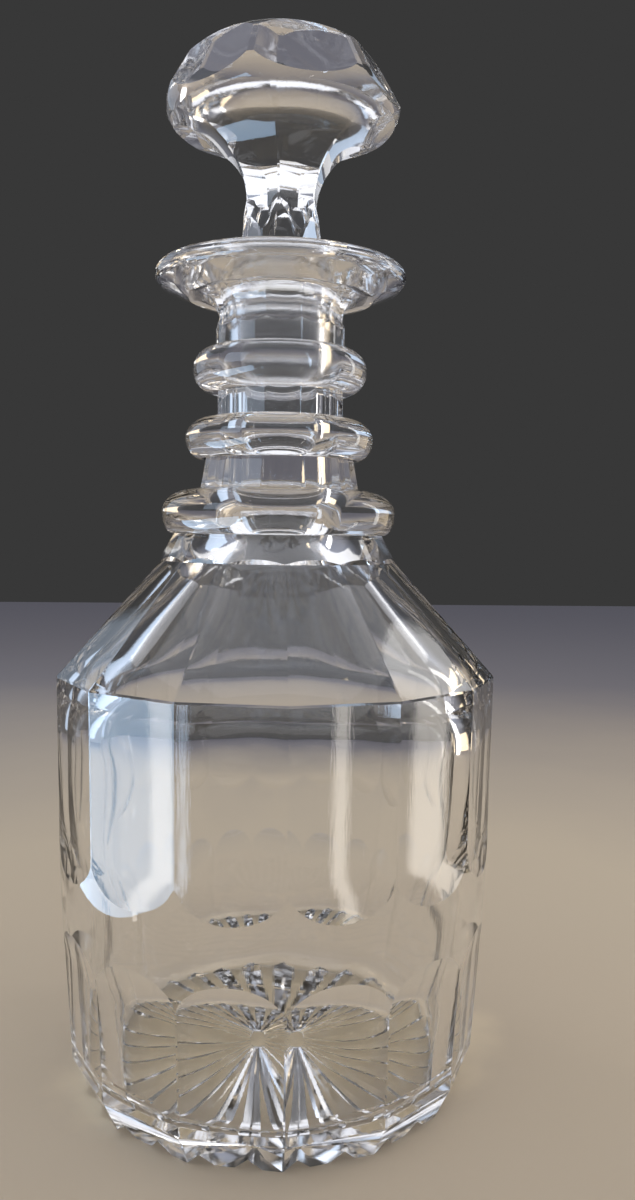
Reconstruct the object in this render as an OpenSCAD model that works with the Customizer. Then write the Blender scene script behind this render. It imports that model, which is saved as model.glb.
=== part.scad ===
// Cut crystal decanter: a fluted bottle with a star-cut foot, three rings fused round
// its neck, and a mushroom stopper with a ground plug that lifts straight out.
// Millimetres, +Z up. The origin is the middle of the foot, where it stands on the table.
// Turns are counted from the front arris, which faces -Y, towards +X.

/* [Bottle] */
// Height of the shoulder edge above the table
shoulder_z = 103.5; // [85:0.5:125]
// Diameter over the arrises at the shoulder edge
shoulder_d = 110.5; // [91:0.5:134]
// Diameter over the arrises at the heel line
heel_d = 103.5; // [86:0.5:124]
// Height of the heel line above the table
heel_z = 7.8; // [6:0.1:9.5]
// How far the foot draws in below the heel line, at each side
foot_in = 3.8; // [2:0.1:6]
// How far the side bulges beyond a straight line
side_bulge = 0.9; // [0:0.1:2]
// Height of the sloping shoulder
shoulder_h = 28; // [22:0.5:34]
// Wall behind the arrises
wall = 6; // [5:0.1:7.5]
// Thickness of the glass floor at its edge
floor_t = 7; // [6:0.1:12]
// Rise of the floor towards its middle
floor_rise = 0.4; // [0.1:0.1:3]

/* [Cutting] */
// Flutes round the side and shoulder
flutes = 14; // [10:1:18]
// Height of the notch between two upper flutes at their lower ends
flute_low_z = 65.5; // [56:0.5:75]
// Height of the notch between two lower panels at their upper ends
panel_top_z = 33; // [25:0.5:40]
// Radius of the wheel that leaves the arched ends
wheel_r = 31; // [25:0.5:45]
// Rays of the star under the foot
star_rays = 28; // [20:1:32]
// Depth of the star cuts at the edge of the foot
star_depth = 3; // [2:0.1:3.6]
// Depth of the star cuts in the middle
star_mid_depth = 0.9; // [0.5:0.1:1.5]
// Opening angle of the star cuts
star_angle = 92; // [80:1:110]
// Turn of the star against the front arris
star_turn = 3.8; // [0:0.1:6]

/* [Neck] */
// Diameter of the neck at its two upper rings
neck_d = 32.4; // [27:0.1:39]
// How far the neck steps out under the middle ring
mid_ledge = 2.9; // [1:0.1:4]
// How far the neck spreads between the middle and the lower ring
neck_flare = 1.4; // [0.5:0.1:3]
// How far the collar steps out under the lower ring
low_ledge = 5.9; // [4:0.1:7]
// How far the collar spreads down to the shoulder
collar_flare = 3.6; // [2:0.1:5]
// Height of the collar under the lower ring
collar_h = 6.8; // [5:0.1:9]
// Clear neck between the lower and the middle ring
low_gap_h = 7.5; // [6:0.1:10]
// Clear neck between the middle and the upper ring
mid_gap_h = 6.3; // [5:0.1:9]
// From the upper ring to the lip's top face
top_gap_h = 19.9; // [19:0.1:24]
// Flat panels round the neck
neck_panels = 12; // [8:1:16]
// Diameter of the bore below the stopper
bore_d = 19.5; // [16:0.1:20]

/* [Rings] */
// Thickness of the lower ring
ring_low_t = 11.2; // [9:0.1:13]
// How far the lower ring stands out from the collar
ring_low_out = 3.1; // [2:0.1:5]
// Thickness of the middle ring
ring_mid_t = 10.4; // [8:0.1:12.5]
// How far the middle ring stands out from the neck below it
ring_mid_out = 4.6; // [3:0.1:6]
// Thickness of the upper ring
ring_top_t = 10.8; // [8:0.1:13]
// How far the upper ring stands out from the neck
ring_top_out = 5.7; // [4:0.1:7]

/* [Lip] */
// Diameter of the lip
lip_d = 62.6; // [54:0.1:76]
// Thickness of the lip at its rim
lip_t = 4.6; // [3.6:0.1:6]
// Depth of the lip from its top face down to the neck
lip_h = 9.9; // [8:0.1:11]
// Radius of the hollow flutes under the lip
lip_flute_r = 5.5; // [4.5:0.1:6.5]
// Depth of the hollow flutes under the lip
lip_flute_depth = 0.9; // [0.5:0.1:1.2]

/* [Stopper] */
// Diameter of the ground plug at the lip's top face
plug_d = 21.2; // [20.2:0.1:25.5]
// Length of the ground plug
plug_l = 28; // [20:0.5:34]
// Gap all round between plug and ground socket
fit_gap = 0.08; // [0.04:0.01:0.1]
// Diameter of the shank over its arrises
shank_d = 19.6; // [16.3:0.1:20]
// Height of the shank between lip and head
shank_l = 18.2; // [14:0.1:24]
// Diameter of the mushroom head
head_d = 58; // [48:0.5:70]
// Height of the head from the end of the shank to its widest line
head_low_h = 20.8; // [18:0.1:26]
// Height of the crown above the widest line
crown_h = 16.6; // [13:0.1:20]
// Facets round the crown
crown_cuts = 7; // [5:1:9]
// Depth of the crown facets
crown_depth = 2.9; // [1:0.1:4]
// Slope of the crown facets
crown_slope = 28; // [20:1:36]
// Flutes round the shank and under the head
shank_cuts = 6; // [5:1:8]
// Depth of the flutes under the head, where they start in the shank
sweep_depth = 1.5; // [0.5:0.1:2.5]
// Turn of the flutes under the head against the shank's flats
head_turn = 25; // [0:1:30]
// Turn of the crown's facets against the shank's flats
crown_turn = 11; // [0:1:25]
// Turn of the whole stopper in the neck
stopper_turn = -3; // [-30:1:30]

/* [Hidden] */

front = -90;             // turns angle 0 to -Y
far = 90;                // beyond every outside surface
arc_steps = 10;          // straight steps in a round corner or an arched cut end
rim_steps = 14;          // straight steps round a ring or a crown
side_steps = 6;          // straight steps up the side
bite = 0.06;             // how far the sharp arrises lie inside the round blank
bottle_tint = [0.86, 0.89, 0.93, 0.45];
ring_tint = [0.80, 0.85, 0.92, 0.55];
stopper_tint = [0.90, 0.91, 0.93, 0.45];

// Radii
shoulder_r = shoulder_d / 2;
heel_r = heel_d / 2;
foot_r = heel_r - foot_in;
seat_r = neck_d / 2;
neck_root_r = seat_r + mid_ledge;
neck_flare_r = neck_root_r + neck_flare;
collar_r = neck_flare_r + low_ledge;
collar_low_r = collar_r + collar_flare;
bore_r = bore_d / 2;
plug_r = plug_d / 2;
plug_end_r = bore_r - fit_gap;
lip_r = lip_d / 2;
shank_r = shank_d / 2;
head_r = head_d / 2;

// Heights, from the shoulder upwards
collar_low_z = shoulder_z + shoulder_h;
ring_low_z = collar_low_z + collar_h;
neck_low_z = ring_low_z + ring_low_t;
ring_mid_z = neck_low_z + low_gap_h;
neck_mid_z = ring_mid_z + ring_mid_t;
ring_top_z = neck_mid_z + mid_gap_h;
lip_z = ring_top_z + ring_top_t + top_gap_h;
plug_end_z = lip_z - plug_l;
shank_top_z = lip_z + shank_l;
girdle_z = shank_top_z + head_low_h;

// Share of the radius that is left in the middle of a flat between two sharp arrises
flute_cos = cos(180 / flutes);
panel_cos = cos(180 / neck_panels);

// Outside radius of the side at height z
function side_t(z) = (z - heel_z) / (shoulder_z - heel_z);
function side_r(z) = heel_r + (shoulder_r - heel_r) * side_t(z)
                     + 4 * side_bulge * side_t(z) * (1 - side_t(z));
// Points of an arc about c from angle a to angle b
function arc(c, r, a, b, steps) =
    [for (i = [0:steps]) let (w = a + (b - a) * i / steps) c + r * [cos(w), sin(w)]];
// Points of a soft bend that leaves a towards b and ends at c
function bend(a, b, c, steps) =
    [for (i = [0:steps]) let (t = i / steps) (1 - t) * (1 - t) * a + 2 * t * (1 - t) * b + t * t * c];
// Point that lies d from a on the way to b
function toward(a, b, d) = a + (b - a) * d / norm(b - a);
// Middle distance of a flat whose arrises, at share s, just miss a blank of radius r
function flat_in(r, s) = r * s - bite;
// Height over which a cut between two arrises runs out of a side of radius r
function run_out(r) = sqrt(2 * wheel_r * r * (1 - flute_cos));

// ---------------------------------------------------------------- bottle

// The round blank that the wheel cuts into
module bottle_blank() {
    rim_r = lip_t / 2;
    rim_start = -70;         // where the round rim takes over from the lip's underside
    spread = [1.2, 3];       // how the neck widens into the lip, outwards and downwards
    rotate_extrude($fn = 180)
        polygon(concat(
            [[0, 0], [foot_r, 0]],
            [for (i = [0:side_steps]) let (z = heel_z + (shoulder_z - heel_z) * i / side_steps) [side_r(z), z]],
            [[collar_low_r, collar_low_z], [collar_r, ring_low_z]],
            [[neck_flare_r, ring_low_z], [neck_flare_r, neck_low_z]],
            [[neck_root_r, ring_mid_z], [seat_r, ring_mid_z]],
            [[seat_r, lip_z - lip_h - spread.y], [seat_r + spread.x, lip_z - lip_h]],
            arc([lip_r - rim_r, lip_z - rim_r], rim_r, rim_start, 90, arc_steps),
            [[0, lip_z]]));
}

// The hollow inside, from the floor to the mouth
module bottle_hollow() {
    corner = 5;              // length of the bend between floor and wall
    level = 0.5;             // level strip between the floor and that bend
    turn = 12;               // length of the bend under the shoulder
    root = 9;                // length of the bend into the bore
    root_up = 2;             // how far above the collar the bore starts
    over = 1;                // how far the mouth is cut past the lip
    floor_steps = 4;
    root_steps = 4;
    shoulder_in = [wall, wall] * sin(45);
    floor_edge = [side_r(floor_t) - wall, floor_t];
    shoulder_edge = [side_r(shoulder_z), shoulder_z] - shoulder_in;
    neck_root = [bore_r, ring_low_z + root_up];
    wall_foot = [side_r(floor_t + corner) - wall, floor_t + corner];
    rotate_extrude($fn = 180)
        polygon(concat(
            [for (i = [0:floor_steps]) let (s = i / floor_steps)
                [(floor_edge.x - corner) * s, floor_t + floor_rise * (1 - s * s)]],
            bend([floor_edge.x - corner + level, floor_t], floor_edge, wall_foot, arc_steps),
            bend(toward(shoulder_edge, wall_foot, turn), shoulder_edge,
                 toward(shoulder_edge, neck_root, turn), arc_steps),
            bend(toward(neck_root, shoulder_edge, root), neck_root, neck_root + [0, root], root_steps),
            [[bore_r, plug_end_z], [plug_r + fit_gap, lip_z]],
            [[plug_r + fit_gap, lip_z + over], [0, lip_z + over]]));
}

// Flat cuts round the axis, from their outline in the radial plane
module ring_of_cuts(count, turn, width, outline) {
    for (i = [0:count - 1])
        rotate([0, 0, front + turn + i * 360 / count])
            rotate([90, 0, 0])
                linear_extrude(height = width, center = true)
                    polygon(outline);
}

// Hollow cuts round the axis, by a wheel of radius r about a level spindle at [x, z]
module ring_of_wheels(count, turn, width, r, spindle) {
    for (i = [0:count - 1])
        rotate([0, 0, front + turn + i * 360 / count])
            translate([spindle.x, 0, spindle.y])
                rotate([90, 0, 0])
                    cylinder(r = r, h = width, center = true, $fn = 128);
}

run_past = 1.15;         // how far an arched end is cut past the side, as a share of its height
flute_width = 2 * shoulder_r * tan(180 / flutes) + 2; // the cuts overlap each other by a little

// Upper flutes, from their arched feet over the shoulder edge to the collar
module upper_flutes() {
    end_h = run_out(side_r(flute_low_z)) * run_past;
    flat_r = flat_in(side_r(flute_low_z), flute_cos);
    lens_h = 2.4;            // the flutes' lens-shaped ends in the collar
    lens_in = 0.4;
    lens_r = flat_in(collar_low_r, flute_cos);
    ring_of_cuts(flutes, 180 / flutes, flute_width, concat(
        [[far, flute_low_z - end_h]],
        arc([flat_r + wheel_r, flute_low_z], wheel_r, 180 + asin(end_h / wheel_r), 180, arc_steps),
        [[flat_in(shoulder_r, flute_cos), shoulder_z], [lens_r, collar_low_z]],
        [[lens_r + lens_in, collar_low_z + lens_h], [far, collar_low_z + lens_h]]));
}

// Lower panels, from their arched heads down over the heel line to the table
module lower_panels() {
    end_h = run_out(side_r(panel_top_z)) * run_past;
    flat_r = flat_in(side_r(panel_top_z), flute_cos);
    below = 1;               // how far the cuts run below the table
    foot_flat_r = flat_in(heel_r - foot_in * (heel_z + below) / heel_z, flute_cos);
    ring_of_cuts(flutes, 180 / flutes, flute_width, concat(
        [[far, -below], [foot_flat_r, -below], [flat_in(heel_r, flute_cos), heel_z]],
        arc([flat_r + wheel_r, panel_top_z], wheel_r, 180, 180 - asin(end_h / wheel_r), arc_steps),
        [[far, panel_top_z + end_h]]));
}

// The star: one long mitre cut for each ray, growing deeper outwards from a small dimple
module star_cuts() {
    below = 4;               // how far the cutters reach below the table
    mid_r = 3;               // where the rays start
    dimple = [0.3, 0.25];    // how much wider and deeper than the rays' start the dimple is
    half = (star_mid_depth + below) * tan(star_angle / 2);
    fall = atan((star_depth - star_mid_depth) / foot_r);
    for (i = [0:star_rays - 1])
        rotate([0, 0, front + star_turn + i * 360 / star_rays])
            rotate([0, -fall, 0])
                translate([mid_r, 0, 0])
                    rotate([90, 0, 90])
                        linear_extrude(height = far)
                            polygon([[-half, -below], [half, -below], [0, star_mid_depth]]);
    translate([0, 0, -below])
        cylinder(r = mid_r + dimple.x, h = below + star_mid_depth + dimple.y, $fn = 64);
}

// Flat panels round the neck over the height h above z, from inner distance low to high
module panel_band(low, high, z, h) {
    over = 1;                // how far the panels run past both ends, where the disc cuts them level
    past = (high - low) / h * over;
    intersection() {
        ring_of_cuts(neck_panels, 0, 2 * neck_flare_r * tan(180 / neck_panels) + over,
            [[low - past, z - over], [high + past, z + h + over], [far, z + h + over], [far, z - over]]);
        translate([0, 0, z])
            cylinder(r = 2 * neck_flare_r, h = h);
    }
}

// Flat panels between the rings, and hollow flutes under the lip
module neck_cuts() {
    below_lip = 2.5;         // from the lip's underside down to the wheel's spindle
    panel_band(flat_in(seat_r, panel_cos), flat_in(seat_r, panel_cos), neck_mid_z, mid_gap_h);
    panel_band(flat_in(neck_flare_r, panel_cos), flat_in(neck_root_r, panel_cos), neck_low_z, low_gap_h);
    ring_of_wheels(neck_panels, 0, 2 * (seat_r + 2 * lip_flute_r) * tan(180 / neck_panels), lip_flute_r,
        [seat_r - lip_flute_depth + lip_flute_r, lip_z - lip_h - below_lip]);
}

module bottle_body() {
    color(bottle_tint)
        difference() {
            bottle_blank();
            bottle_hollow();
            upper_flutes();
            lower_panels();
            star_cuts();
            neck_cuts();
        }
}

// ---------------------------------------------------------------- rings

// One ring on a seat: out from the glass below it, round, and in to the neck above it
module neck_ring(seat, low_r, out_r, z, t) {
    fillet = 0.5;            // glass that has run against the neck, above and below
    foot = max(low_r, seat) + fillet;
    mid_z = z + t / 2;
    color(ring_tint)
        difference() {
            rotate_extrude($fn = 180)
                polygon(concat(
                    [[seat - 1, z], [foot, z]],
                    [for (i = [1:rim_steps - 1]) let (a = -90 + 180 * i / rim_steps)
                        let (root = a < 0 ? foot : seat + fillet)
                        [root + (out_r - root) * cos(a), mid_z + t / 2 * sin(a)]],
                    [[seat + fillet, z + t], [seat - 1, z + t]]));
            translate([0, 0, z - 1])
                cylinder(r = seat, h = t + 2, $fn = 180);
        }
}

module neck_ring_lower() {
    neck_ring(neck_flare_r, collar_r, collar_r + ring_low_out, ring_low_z, ring_low_t);
}

module neck_ring_middle() {
    neck_ring(seat_r, neck_root_r, neck_root_r + ring_mid_out, ring_mid_z, ring_mid_t);
}

module neck_ring_upper() {
    neck_ring(seat_r, seat_r, seat_r + ring_top_out, ring_top_z, ring_top_t);
}

// ---------------------------------------------------------------- stopper

// The round blank of plug, shank and mushroom head
module stopper_blank() {
    step_h = 0.9;            // the small step between plug and shank
    plug_edge = 0.8;
    flare_r = 11.5;          // round between shank and head
    flare_end = 120;
    flare_steps = 8;
    girdle_round = 6;
    girdle_start = -58;
    girdle_steps = 6;
    rotate_extrude($fn = 180)
        polygon(concat(
            [[0, plug_end_z], [plug_end_r - plug_edge, plug_end_z], [plug_end_r, plug_end_z + plug_edge]],
            [[plug_r, lip_z], [plug_r, lip_z + step_h], [shank_r, lip_z + 2 * step_h]],
            arc([shank_r + flare_r, shank_top_z], flare_r, 180, flare_end, flare_steps),
            arc([head_r - girdle_round, girdle_z], girdle_round, girdle_start, 0, girdle_steps),
            [for (i = [1:rim_steps]) let (a = 90 * i / rim_steps)
                [head_r * cos(a), girdle_z + crown_h * sin(a)]]));
}

// Flat sides round the shank, whose heads run out in points
module shank_flats() {
    land = 0.1;              // narrow round strip that is left between two flats
    above_lip = 2.4;
    run_start = 4.5;         // below the head
    run = [4, 6];
    width = 1.4 * shank_d;
    flat_r = shank_r * cos(180 / shank_cuts) + land;
    flat_z = lip_z + above_lip;
    head_z = shank_top_z - run_start;
    ring_of_cuts(shank_cuts, stopper_turn, width,
        [[flat_r, flat_z], [flat_r, head_z], [flat_r + run.x, head_z + run.y],
         [far, head_z + run.y], [far, flat_z]]);
}

// Broad flutes swept from the shank out under the head
module head_flutes() {
    sweep_r = 20;
    drop = 3;                // from the head down to the wheel's spindle
    ring_of_wheels(shank_cuts, stopper_turn + head_turn, head_d, sweep_r,
        [shank_r - sweep_depth + sweep_r, shank_top_z - drop]);
}

// Oval facets round the crown
module crown_facets() {
    reach = sqrt(pow(head_r * cos(crown_slope), 2) + pow(crown_h * sin(crown_slope), 2));
    for (i = [0:crown_cuts - 1])
        rotate([0, 0, front + stopper_turn + crown_turn + i * 360 / crown_cuts])
            translate([0, 0, girdle_z])
                rotate([0, -crown_slope, 0])
                    translate([reach - crown_depth, -head_r, -head_r])
                        cube([head_r, head_d, head_d]);
}

module stopper() {
    color(stopper_tint)
        difference() {
            stopper_blank();
            shank_flats();
            head_flutes();
            crown_facets();
        }
}

bottle_body();
neck_ring_lower();
neck_ring_middle();
neck_ring_upper();
stopper();
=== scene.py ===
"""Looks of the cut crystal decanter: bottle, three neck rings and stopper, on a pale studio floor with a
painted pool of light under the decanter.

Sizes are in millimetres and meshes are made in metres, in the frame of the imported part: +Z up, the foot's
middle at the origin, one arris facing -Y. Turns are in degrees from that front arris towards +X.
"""

import logging
import math
from dataclasses import dataclass, field
from enum import Enum, IntEnum
from typing import Callable

import bmesh
import bpy
import numpy as np
from mathutils import Matrix, Vector

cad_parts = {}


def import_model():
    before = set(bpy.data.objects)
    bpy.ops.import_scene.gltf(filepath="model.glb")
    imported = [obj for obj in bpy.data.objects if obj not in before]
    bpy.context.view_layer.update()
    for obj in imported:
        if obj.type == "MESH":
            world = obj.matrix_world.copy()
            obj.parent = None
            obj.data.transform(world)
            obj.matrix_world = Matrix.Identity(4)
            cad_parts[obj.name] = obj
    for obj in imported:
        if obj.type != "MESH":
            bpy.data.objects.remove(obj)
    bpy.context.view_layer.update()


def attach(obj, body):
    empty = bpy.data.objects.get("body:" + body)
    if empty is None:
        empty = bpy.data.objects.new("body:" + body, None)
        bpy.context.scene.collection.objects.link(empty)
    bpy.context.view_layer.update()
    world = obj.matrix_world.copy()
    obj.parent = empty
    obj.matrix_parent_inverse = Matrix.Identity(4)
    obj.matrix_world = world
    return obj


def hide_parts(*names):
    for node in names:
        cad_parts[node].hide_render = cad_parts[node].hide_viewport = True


MM = 0.001
WELD = 2e-7
LOG = logging.getLogger("decanter")
Array = np.ndarray


# ---------------------------------------------------------------- small sums


def offset_from(turn: Array, count: int, first: float) -> Array:
    """How far each turn lies from the nearest of some equal divisions.

    Args:
        turn: Turns in degrees.
        count: Number of divisions round the axis.
        first: Turn of one division's middle.

    Returns:
        Signed distances in radians.
    """
    pitch = 360 / count
    return np.radians((turn - first + pitch / 2) % pitch - pitch / 2)


def crossing(gap: Callable[[Array], Array], low: Array, high: Array) -> Array:
    """Where a gap that is negative on one side and positive on the other closes.

    Args:
        gap: Function of a height that changes sign once between low and high.
        low: One end for each column.
        high: The other end for each column.

    Returns:
        The place of the change for each column.
    """
    low, high = low.astype(float).copy(), high.astype(float).copy()
    start = np.sign(gap(low))
    for _ in range(40):
        middle = (low + high) / 2
        same = np.sign(gap(middle)) == start
        low = np.where(same, middle, low)
        high = np.where(same, high, middle)
    return (low + high) / 2


def bend(start: Array, corner: Array, end: Array, steps: int) -> Array:
    """Points of a soft bend.

    Args:
        start: Point where the bend begins.
        corner: Point that it leans towards.
        end: Point where it ends.
        steps: Number of steps.

    Returns:
        The points, one a row.
    """
    t = np.linspace(0, 1, steps + 1)[:, None]
    return (1 - t) ** 2 * start + 2 * t * (1 - t) * corner + t**2 * end


def toward(start: Array, end: Array, length: float) -> Array:
    """The point that lies a length from start on the way to end."""
    return start + (end - start) * length / np.linalg.norm(end - start)


def arc(middle: tuple[float, float], radius: float, first: float, last: float, steps: int) -> Array:
    """Points of an arc in the radial plane.

    Args:
        middle: Centre of the arc.
        radius: Its radius.
        first: First angle in degrees.
        last: Last angle in degrees.
        steps: Number of steps.

    Returns:
        The points, one a row.
    """
    w = np.radians(np.linspace(first, last, steps + 1))
    return np.stack([middle[0] + radius * np.cos(w), middle[1] + radius * np.sin(w)], 1)


class Kind(IntEnum):
    """What a band of a skin is made of, as a material slot."""

    POLISHED = 0
    JOINED = 1
    GROUND = 2


@dataclass
class Skin:
    """A closed skin of rows of points, from one pole on the axis to another."""

    turn: Array
    rows: list[Array] = field(default_factory=list)
    kinds: list[Kind] = field(default_factory=list)

    def row(self, r: Array | float, z: Array | float, kind: Kind = Kind.POLISHED,
            turn: Array | None = None) -> None:
        """Adds a row at radius r and height z.

        Args:
            r: Radius of each column.
            z: Height of each column.
            kind: What the band up to this row is made of.
            turn: Turn of each column, where it isn't the skin's own.
        """
        w = np.radians(self.turn if turn is None else turn)
        r, z = np.broadcast_to(r, w.shape), np.broadcast_to(z, w.shape)
        self.rows.append(np.stack([r * np.sin(w), -r * np.cos(w), z], 1))
        self.kinds.append(kind)

    def line(self, points: Array, kind: Kind = Kind.POLISHED) -> None:
        """Adds a round row for each point of a line in the radial plane."""
        for r, z in points:
            self.row(float(r), float(z), kind)

    def band(self, low: Array, high: Array, steps: int, radius: Callable[[Array], Array]) -> None:
        """Adds rows over a band of heights, not counting its lower edge.

        Args:
            low: Lower edge of the band for each column.
            high: Upper edge of the band for each column.
            steps: Number of rows.
            radius: Radius of each column at its height.
        """
        for i in range(1, steps + 1):
            z = low + (high - low) * i / steps
            self.row(radius(z), z)

    def mesh(self, name: str, crease: float) -> bpy.types.Object:
        """Makes the skin's object.

        Args:
            name: Name of the piece.
            crease: Angle in degrees over which an edge stays sharp.

        Returns:
            The object, with smooth faces between its sharp edges.
        """
        n, m = len(self.turn), len(self.rows)
        points = np.concatenate(self.rows) * MM
        a = (np.arange(m - 1)[:, None] * n + np.arange(n)).ravel()
        b = (np.arange(m - 1)[:, None] * n + (np.arange(n) + 1) % n).ravel()
        faces = np.stack([a, b, b + n, a + n], 1)
        mesh = bpy.data.meshes.new(name)
        mesh.from_pydata(points.tolist(), [], faces.tolist())
        mesh.polygons.foreach_set("material_index", np.repeat([int(k) for k in self.kinds[1:]], n))
        work = bmesh.new()
        work.from_mesh(mesh)
        bmesh.ops.remove_doubles(work, verts=work.verts, dist=WELD)
        bmesh.ops.recalc_face_normals(work, faces=work.faces)
        work.to_mesh(mesh)
        work.free()
        mesh.polygons.foreach_set("use_smooth", np.ones(len(mesh.polygons), bool))
        mesh.set_sharp_from_angle(angle=math.radians(crease))
        piece = bpy.data.objects.new(name, mesh)
        bpy.context.collection.objects.link(piece)
        return piece


# ---------------------------------------------------------------- finishes


@dataclass(frozen=True)
class CutCrystal:
    """Clear lead crystal with the faint marks that the polishing felt leaves."""

    name: str
    tint: tuple[float, float, float] = (0.994, 0.996, 0.998)
    index: float = 1.545
    smooth: float = 0.0
    worn: float = 0.035
    mark_size: float = 2400.0
    mark_stretch: float = 16.0
    mark_detail: float = 4.0
    relief: float = 0.012
    relief_depth: float = 0.0004
    wear_size: float = 38.0
    wear_detail: float = 6.0
    wear_span: tuple[float, float] = (0.52, 0.80)

    def make(self) -> bpy.types.Material:
        """Builds the material.

        Returns:
            The material, with roughness and relief from its own noise.
        """
        mat = bpy.data.materials.new(self.name)
        mat.use_nodes = True
        nodes, links = mat.node_tree.nodes, mat.node_tree.links
        glass = nodes["Principled BSDF"]
        glass.inputs["Base Color"].default_value = (*self.tint, 1)
        glass.inputs["IOR"].default_value = self.index
        glass.inputs["Transmission Weight"].default_value = 1.0
        place = nodes.new("ShaderNodeTexCoord")
        turn = nodes.new("ShaderNodeMapping")
        turn.inputs["Scale"].default_value = (1, 1, 1 / self.mark_stretch)
        marks = nodes.new("ShaderNodeTexNoise")
        marks.inputs["Scale"].default_value = self.mark_size
        marks.inputs["Detail"].default_value = self.mark_detail
        wear = nodes.new("ShaderNodeTexNoise")
        wear.inputs["Scale"].default_value = self.wear_size
        wear.inputs["Detail"].default_value = self.wear_detail
        spread = nodes.new("ShaderNodeMapRange")
        spread.inputs["From Min"].default_value, spread.inputs["From Max"].default_value = self.wear_span
        spread.inputs["To Min"].default_value = self.smooth
        spread.inputs["To Max"].default_value = self.worn
        bump = nodes.new("ShaderNodeBump")
        bump.inputs["Strength"].default_value = self.relief
        bump.inputs["Distance"].default_value = self.relief_depth
        links.new(place.outputs["Object"], turn.inputs["Vector"])
        links.new(turn.outputs["Vector"], marks.inputs["Vector"])
        links.new(place.outputs["Object"], wear.inputs["Vector"])
        links.new(wear.outputs["Fac"], spread.inputs["Value"])
        links.new(spread.outputs["Result"], glass.inputs["Roughness"])
        links.new(marks.outputs["Fac"], bump.inputs["Height"])
        links.new(bump.outputs["Normal"], glass.inputs["Normal"])
        return mat


@dataclass(frozen=True)
class GroundCrystal:
    """Finely ground glass of the plug and its socket, wet-looking but hazy."""

    name: str
    tint: tuple[float, float, float] = (0.97, 0.975, 0.98)
    index: float = 1.545
    fine: float = 0.12
    coarse: float = 0.24
    grit: float = 2600.0
    relief: float = 0.15
    relief_depth: float = 0.0001
    haze_size: float = 120.0
    haze_span: tuple[float, float] = (0.35, 0.70)

    def make(self) -> bpy.types.Material:
        """Builds the material.

        Returns:
            The material, with its haze and grit from noise.
        """
        mat = bpy.data.materials.new(self.name)
        mat.use_nodes = True
        nodes, links = mat.node_tree.nodes, mat.node_tree.links
        glass = nodes["Principled BSDF"]
        glass.inputs["Base Color"].default_value = (*self.tint, 1)
        glass.inputs["IOR"].default_value = self.index
        glass.inputs["Transmission Weight"].default_value = 1.0
        place = nodes.new("ShaderNodeTexCoord")
        grit = nodes.new("ShaderNodeTexNoise")
        grit.inputs["Scale"].default_value = self.grit
        haze = nodes.new("ShaderNodeTexNoise")
        haze.inputs["Scale"].default_value = self.haze_size
        spread = nodes.new("ShaderNodeMapRange")
        spread.inputs["From Min"].default_value, spread.inputs["From Max"].default_value = self.haze_span
        spread.inputs["To Min"].default_value = self.fine
        spread.inputs["To Max"].default_value = self.coarse
        bump = nodes.new("ShaderNodeBump")
        bump.inputs["Strength"].default_value = self.relief
        bump.inputs["Distance"].default_value = self.relief_depth
        links.new(place.outputs["Object"], grit.inputs["Vector"])
        links.new(place.outputs["Object"], haze.inputs["Vector"])
        links.new(haze.outputs["Fac"], spread.inputs["Value"])
        links.new(spread.outputs["Result"], glass.inputs["Roughness"])
        links.new(grit.outputs["Fac"], bump.inputs["Height"])
        links.new(bump.outputs["Normal"], glass.inputs["Normal"])
        return mat


@dataclass(frozen=True)
class FusedJoint:
    """The place where a ring has run together with the neck, which isn't a surface any more."""

    name: str

    def make(self) -> bpy.types.Material:
        """Builds the material.

        Returns:
            The material, which lets everything through.
        """
        mat = bpy.data.materials.new(self.name)
        mat.use_nodes = True
        nodes, links = mat.node_tree.nodes, mat.node_tree.links
        nodes.remove(nodes["Principled BSDF"])
        clear = nodes.new("ShaderNodeBsdfTransparent")
        links.new(clear.outputs["BSDF"], nodes["Material Output"].inputs["Surface"])
        return mat


@dataclass(frozen=True)
class MattFloor:
    """A plain pale surface with a faint unevenness, brighter and warmer in the middle, where a pool of light
    is painted under the decanter, and darker further out.

    The tones, a painted pool of light fading out, are pairs of a distance from the middle, in metres, and a
    colour.
    """

    name: str
    painted_light_tones: tuple[tuple[float, tuple[float, float, float]], ...]
    matt: float = 0.9
    cloud_size: float = 9.0
    cloud_detail: float = 5.0
    cloud_share: float = 0.12

    def make(self) -> bpy.types.Material:
        """Builds the material.

        Returns:
            The material, whose tone changes with the distance from its middle: a painted pool of light under
            the decanter, darker further out.
        """
        mat = bpy.data.materials.new(self.name)
        mat.use_nodes = True
        nodes, links = mat.node_tree.nodes, mat.node_tree.links
        paint = nodes["Principled BSDF"]
        paint.inputs["Roughness"].default_value = self.matt
        paint.inputs["Specular IOR Level"].default_value = 0.0
        place = nodes.new("ShaderNodeTexCoord")
        away = nodes.new("ShaderNodeVectorMath")
        away.operation = "LENGTH"
        cloud = nodes.new("ShaderNodeTexNoise")
        cloud.inputs["Scale"].default_value = self.cloud_size
        cloud.inputs["Detail"].default_value = self.cloud_detail
        uneven = nodes.new("ShaderNodeMath")
        uneven.operation = "MULTIPLY_ADD"
        uneven.inputs[1].default_value = self.cloud_share
        # Painted light: this ramp paints a bright warm pool under the decanter's foot, where light let
        # through the glass would fall, and darker tones further out.
        painted_light_tones = nodes.new("ShaderNodeValToRGB")
        ramp = painted_light_tones.color_ramp.elements
        while len(ramp) < len(self.painted_light_tones):
            ramp.new(1.0)
        for stop, (away_r, tone) in zip(ramp, self.painted_light_tones):
            stop.position, stop.color = away_r, (*tone, 1)
        links.new(place.outputs["Object"], away.inputs[0])
        links.new(place.outputs["Object"], cloud.inputs["Vector"])
        links.new(cloud.outputs["Fac"], uneven.inputs[0])
        links.new(away.outputs["Value"], uneven.inputs[2])
        links.new(uneven.outputs["Value"], painted_light_tones.inputs["Fac"])
        links.new(painted_light_tones.outputs["Color"], paint.inputs["Base Color"])
        return mat


# ---------------------------------------------------------------- bottle


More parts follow.
